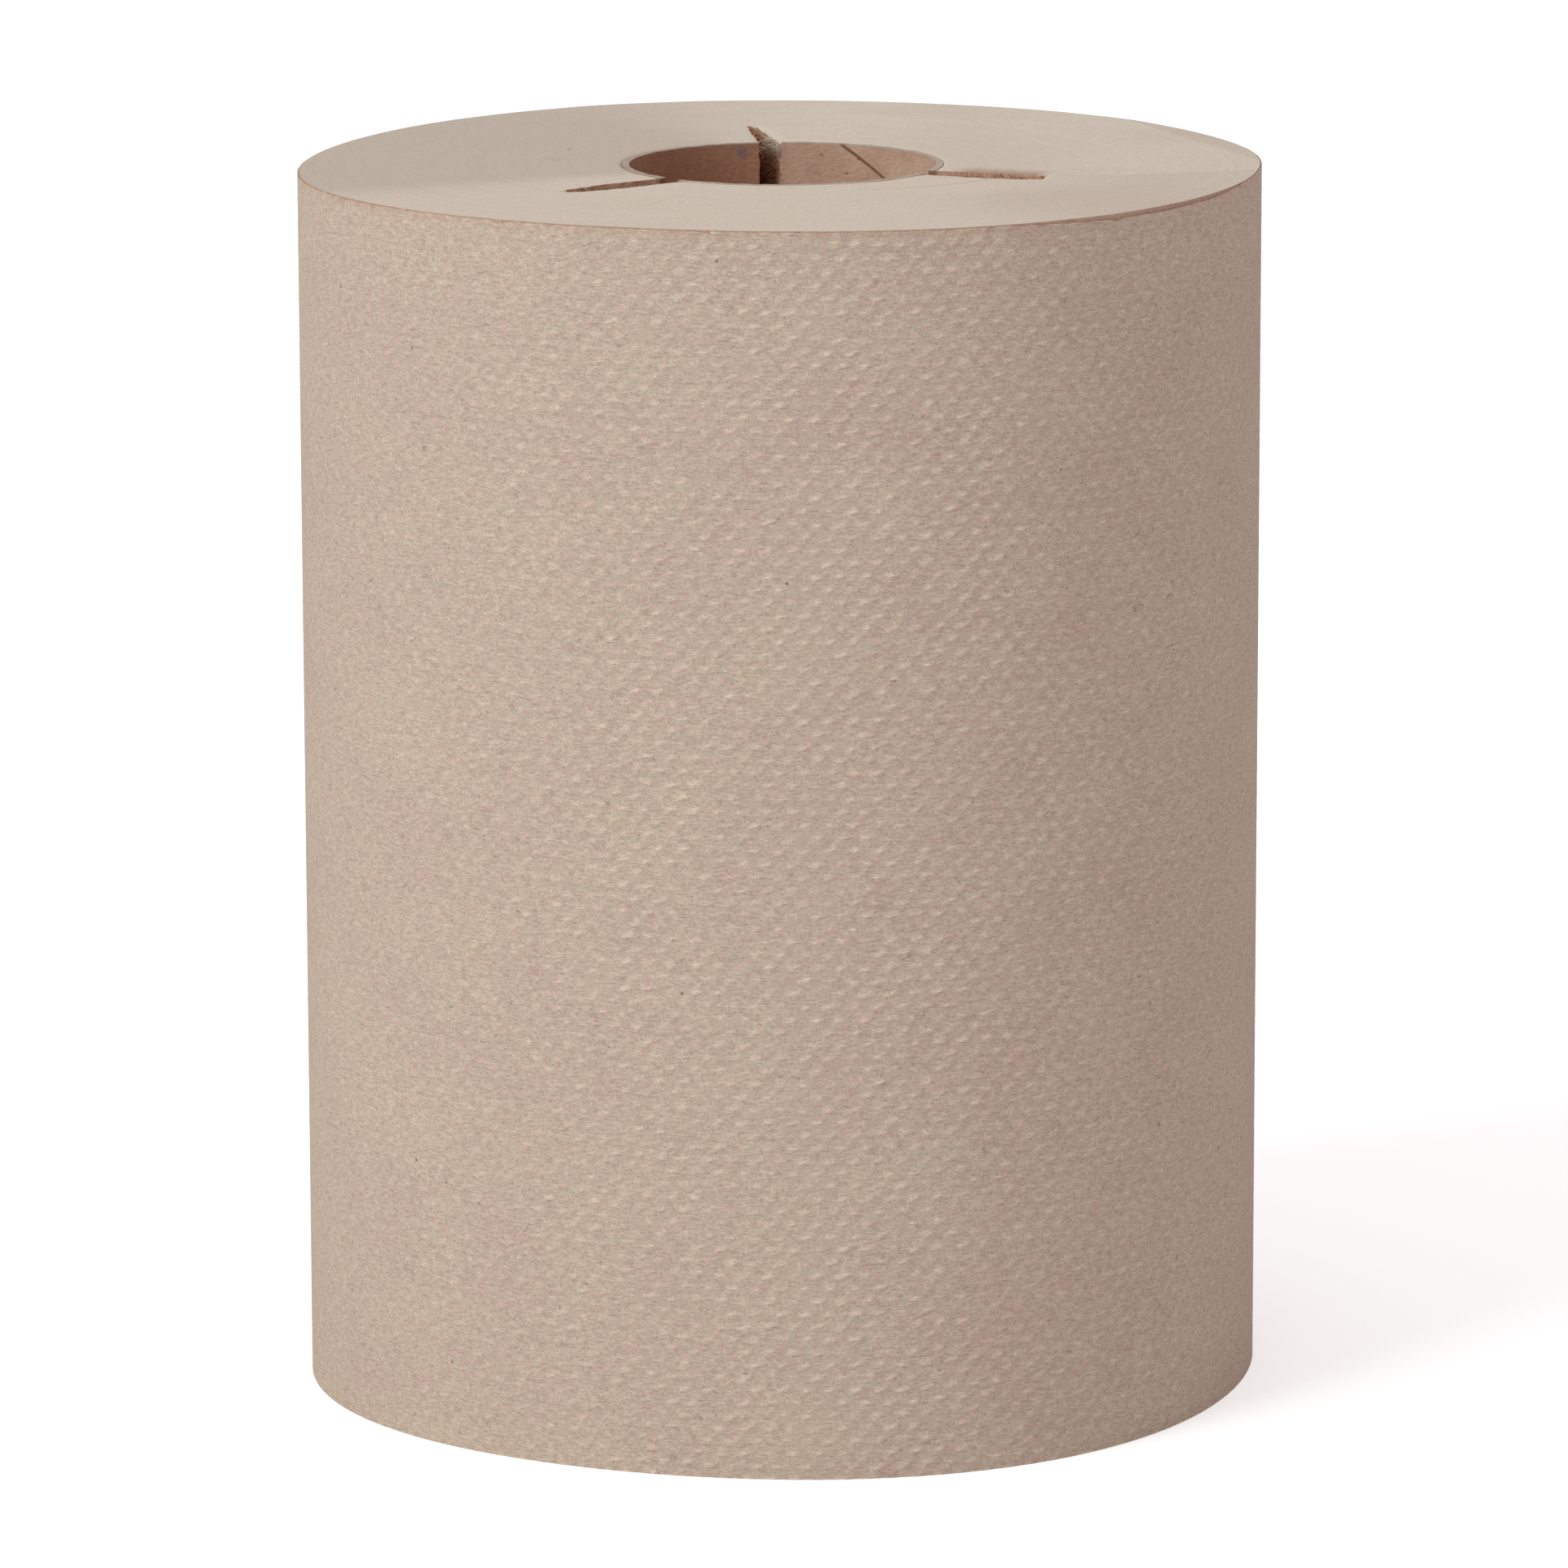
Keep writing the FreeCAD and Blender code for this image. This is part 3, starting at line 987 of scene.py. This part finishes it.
def outer_turn_tree():
    """The outermost turn: a thin strip that follows the roll's spiral once round."""
    tree, size_input = open_tree("outer_turn")
    radius = size_input("Roll Radius")
    thickness = size_input("Lap Thickness")
    gap = size_input("Gap Under Lap")
    width = size_input("Web Width")
    tail = size_input("Tail Angle")
    columns = size_input("Emboss Columns", "NodeSocketInt")
    rows = size_input("Emboss Rows", "NodeSocketInt")
    pillow = size_input("Emboss Height")
    dip = size_input("Edge Dip")
    dip_direction = size_input("Dip Direction")
    dip_half_span = size_input("Dip Half Span")
    wave = size_input("Edge Wave")
    set_down = size_input("Edge Set Down")
    finish = size_input("Finish", "NodeSocketMaterial")
    start = Wire(tree)

    def stored(geometry, name, value):
        sockets = {"Geometry": geometry, "Name": name, "Value": value}
        return start.node("GeometryNodeStoreNamedAttribute", {"data_type": "FLOAT"}, sockets)

    def named(name):
        return start.node("GeometryNodeInputNamedAttribute", {"data_type": "FLOAT"}, {"Name": name})

    line = start.node("GeometryNodeCurvePrimitiveLine", {}, {"End": (1.0, 0.0, 0.0)})
    samples = {"Curve": line, "Count": columns * points_a_pitch + 1}
    line = start.node("GeometryNodeResampleCurve", {"mode": "COUNT"}, samples)
    line = stored(line, "around", start.node("GeometryNodeSplineParameter", {}, {}))
    steps = rows * points_a_pitch
    profile = start.node("GeometryNodeMeshLine", {}, {"Count": steps + 3, "Offset": (0.0, 0.001, 0.0)})
    profile = start.node("GeometryNodeMeshToCurve", {}, {"Mesh": profile})
    profile = start.node("GeometryNodeSetSplineCyclic", {}, {"Geometry": profile, "Cyclic": True})
    index = start.node("GeometryNodeInputIndex", {}, {})
    profile = stored(profile, "inside", index > steps + 0.5)
    profile = stored(profile, "height", (index / steps).at_most(1.0) * (index < steps + 1.5))
    swept = {"Curve": line, "Profile Curve": profile, "Fill Caps": True}
    strip = start.node("GeometryNodeCurveToMesh", {}, swept, "Mesh")
    around, height, inside = named("around"), named("height"), named("inside")
    angle = (tail + around * 360.0) * math.radians(1)
    section = radius
    for lobe in out_of_round:
        lobed = ((angle - math.radians(lobe["direction"])) * float(lobe["lobes"])).cos()
        section = section + lobed * lobe["height"]
    wound_in = thickness * (1 - around)
    place = start.node("ShaderNodeCombineXYZ", {}, {0: angle.cos(), 1: angle.sin(), 2: height})

    toward_press = (angle - math.radians(pressed_direction)).cos() * section
    pressed = (toward_press - pressed_distance).at_least(0.0) / (roll_radius - pressed_distance)
    pressed = pressed**pressed_curve * pressed_depth
    share = (dip_half_span * math.radians(1)).cos()
    rise = dip * share / (1 - share)
    toward_dip = (angle - dip_direction * math.radians(1)).cos()
    slipped = ((dip + rise) * toward_dip - rise).at_least(0.0)
    ripple = place.node("ShaderNodeTexNoise", {}, {"Vector": place, "Scale": 24.0, "Detail": 3.0})
    lowered = pressed.at_least(slipped).at_least(set_down) + wave * ripple * 2.0
    for nick in edge_nicks:
        facing = (angle - math.radians(nick["angle"])).cos()
        narrow = math.cos(math.radians(nick["half_width"]))
        share = ((facing - narrow) / (1 - narrow)).at_least(0.0)
        lowered = lowered + share**nick_curve * nick["depth"]
    z = height * (width - lowered)

    dots = (around * columns * full_turn).cos() * (height * rows * full_turn).cos()
    dent = 0.5 - 0.5 * dots
    facing = abs((angle - math.radians(emboss_direction)).cos())
    patchy = place.node("ShaderNodeTexNoise", {}, {"Vector": place, "Scale": 5.0, "Detail": 2.0})
    crispness = (faintest_emboss + (1 - faintest_emboss) * facing**2.0) * (0.5 + patchy)
    outside = section - wound_in - dent * pillow * crispness.at_most(deepest_emboss)
    under = section - wound_in - thickness + gap
    out = inside * under + (1 - inside) * outside
    spot = start.node("ShaderNodeCombineXYZ", {}, {0: out * angle.cos(), 1: out * angle.sin(), 2: z})
    strip = stored(strip, "crispness", crispness)
    strip = start.node("GeometryNodeSetPosition", {}, {"Geometry": strip, "Position": spot})
    strip = start.node("GeometryNodeFlipFaces", {}, {"Mesh": strip})
    return close_tree(tree, strip, finish)


towel_paper = towel_finish(
    "towel_paper", paint(191, 164, 150), paint(195, 177, 156), (emboss_columns, emboss_rows)
)
outer_sizes = {
    "Roll Radius": roll_radius - lap_sunk,
    "Lap Thickness": lap_thickness,
    "Gap Under Lap": lap_gap,
    "Web Width": web_width,
    "Tail Angle": tail_angle,
    "Emboss Columns": emboss_columns,
    "Emboss Rows": emboss_rows,
    "Emboss Height": emboss_height,
    "Edge Dip": lap_dip,
    "Dip Direction": lap_dip_direction,
    "Dip Half Span": lap_dip_half_span,
    "Edge Wave": edge_wave,
    "Edge Set Down": edge_set_down,
    "Finish": towel_paper,
}
outer_piece = grow("outer_turn", outer_turn_tree(), outer_sizes)
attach(outer_piece, "root")
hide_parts("wound_towel")

# The stage is a pale floor that keeps the roll's soft shadow, under a white sky, with one large
# soft lamp at the front left and a weaker one above. The camera stands where the photographer did.
camera_distance = 19.2 * roll_radius
camera_height = 5.1684 * roll_radius
camera_pitch = 11.5947
camera_roll = 0.136
focal_pixels = 11529.6
picture_pixels = 1932
sensor_width = 36.0
nearest_seen = 0.05
farthest_seen = 50.0
floor_half_width = 6.0
floor_colour = (0.9, 0.9, 0.9, 1.0)
floor_glow = 0.4
sky_colour = (0.593, 0.563, 0.58, 1.0)
white = (1.0, 1.0, 1.0, 1.0)
black = (0.0, 0.0, 0.0, 1.0)
lamps = (
    {"name": "key", "place": (-4.5, -3.75, 3.4), "size": 3.0, "power": 244.0, "colour": (0.85, 0.99, 1.0)},
    {"name": "top", "place": (0.1, 0.2, 1.9), "size": 1.0, "power": 3.4, "colour": (1.0, 0.97, 0.93)},
)


def stage_floor():
    """A matt floor that the camera sees nearly white, with the roll's shadow on it."""
    half = floor_half_width
    mesh = bpy.data.meshes.new("floor")
    corners = [(-half, -half, 0), (half, -half, 0), (half, half, 0), (-half, half, 0)]
    mesh.from_pydata(corners, [], [(0, 1, 2, 3)])
    floor = bpy.data.objects.new("floor", mesh)
    bpy.context.scene.collection.objects.link(floor)
    material = bpy.data.materials.new("pale_floor")
    material.use_nodes = True
    tree = material.node_tree
    shader = tree.nodes["Principled BSDF"]
    shader.inputs["Base Color"].default_value = floor_colour
    shader.inputs["Roughness"].default_value = 1.0
    shader.inputs["Specular IOR Level"].default_value = 0.0
    rays = Wire(tree).node("ShaderNodeLightPath", {}, {}, "Is Camera Ray")
    glow = rays.blend(black, white)
    tree.links.new(glow.socket, shader.inputs["Emission Color"])
    shader.inputs["Emission Strength"].default_value = floor_glow
    mesh.materials.append(material)


def white_sky():
    """A sky that lights the roll from all sides, and that the camera sees as white."""
    world = bpy.data.worlds.new("sky")
    bpy.context.scene.world = world
    world.use_nodes = True
    tree = world.node_tree
    rays = Wire(tree).node("ShaderNodeLightPath", {}, {}, "Is Camera Ray")
    level = rays.blend(sky_colour, white)
    tree.links.new(level.socket, tree.nodes["Background"].inputs["Color"])


stage_floor()
white_sky()
for lamp in lamps:
    light = bpy.data.lights.new(lamp["name"], "AREA")
    light.size = lamp["size"]
    light.energy = lamp["power"]
    light.color = lamp["colour"]
    holder = bpy.data.objects.new(lamp["name"], light)
    holder.location = lamp["place"]
    aim = Vector((0, 0, web_width / 2)) - holder.location
    holder.rotation_euler = aim.to_track_quat("-Z", "Y").to_euler()
    holder.visible_camera = False
    bpy.context.scene.collection.objects.link(holder)

camera = bpy.data.objects.new("camera", bpy.data.cameras.new("camera"))
camera.data.sensor_width = sensor_width
camera.data.lens = sensor_width * focal_pixels / picture_pixels
camera.data.clip_start = nearest_seen
camera.data.clip_end = farthest_seen
camera.location = (0.0, -camera_distance, camera_height)
pitched = Matrix.Rotation(math.radians(90.0 - camera_pitch), 3, "X")
rolled = Matrix.Rotation(math.radians(-camera_roll), 3, "Z")
camera.rotation_euler = (pitched @ rolled).to_euler()
bpy.context.scene.collection.objects.link(camera)
bpy.context.scene.camera = camera
bpy.context.scene.view_settings.view_transform = "Standard"
